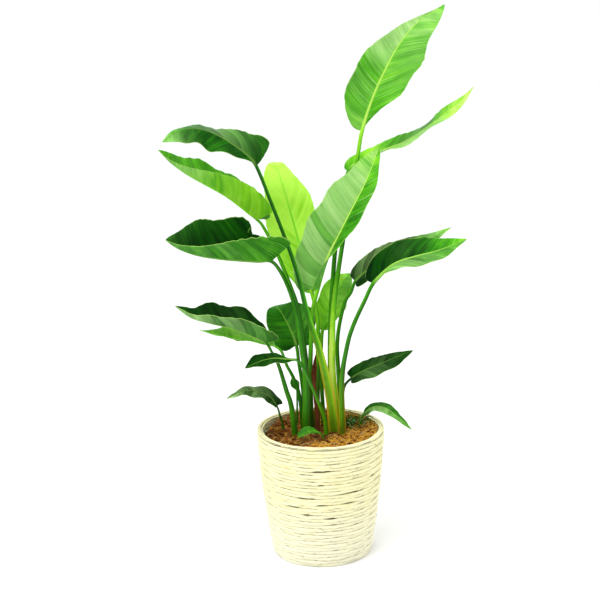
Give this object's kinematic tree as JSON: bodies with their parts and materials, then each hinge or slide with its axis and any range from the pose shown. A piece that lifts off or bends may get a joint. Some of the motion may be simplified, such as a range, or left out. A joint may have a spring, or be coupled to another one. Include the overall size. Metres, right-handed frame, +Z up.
{
  "type": "potted bird of paradise",
  "caption": "Bird of paradise plant with broad paddle leaves on long stalks, potted inside a round tapered basket of woven husk rope.",
  "frame": {"origin": "centre of the basket's flat underside", "axes": "+Z up through the middle of the basket, -Y the front, +X to the right seen from the front"},
  "size_m": [0.705, 0.3036, 1.2729],
  "materials": {
    "rope": "twisted dry husk rope",
    "pot_plastic": "matt moulded",
    "soil": "damp crumbly potting soil",
    "coir": "loose coir fibre",
    "leaf_bright": "smooth, light shows through",
    "leaf_middle": "smooth, waxy sheen",
    "leaf_dark": "smooth, waxy sheen",
    "husk": "dry papery sheath"
  },
  "bodies": {
    "root": {"basket": "rope", "nursery_pot": "pot_plastic", "soil": "soil", "coir_mulch": "coir", "leaf_crown": "leaf_middle", "leaf_upper_right": "leaf_middle", "leaf_upper_left": "leaf_dark", "leaf_left_folded": "leaf_bright", "leaf_back_upright": "leaf_bright", "leaf_centre": "leaf_middle", "leaf_left_middle": "leaf_dark", "leaf_right_rear": "leaf_dark", "leaf_right_front": "leaf_dark", "leaf_left_lower": "leaf_dark", "leaf_left_pale": "leaf_bright", "leaf_round_rear": "leaf_middle", "leaf_left_small": "leaf_dark", "leaf_left_low": "leaf_dark", "leaf_right_low": "leaf_dark", "leaf_right_small": "leaf_dark", "leaf_rear_pale": "leaf_bright", "leaf_ground": "leaf_bright", "leaf_sprout": "leaf_middle", "dry_sheath": "husk"}
  },
  "joints": []
}
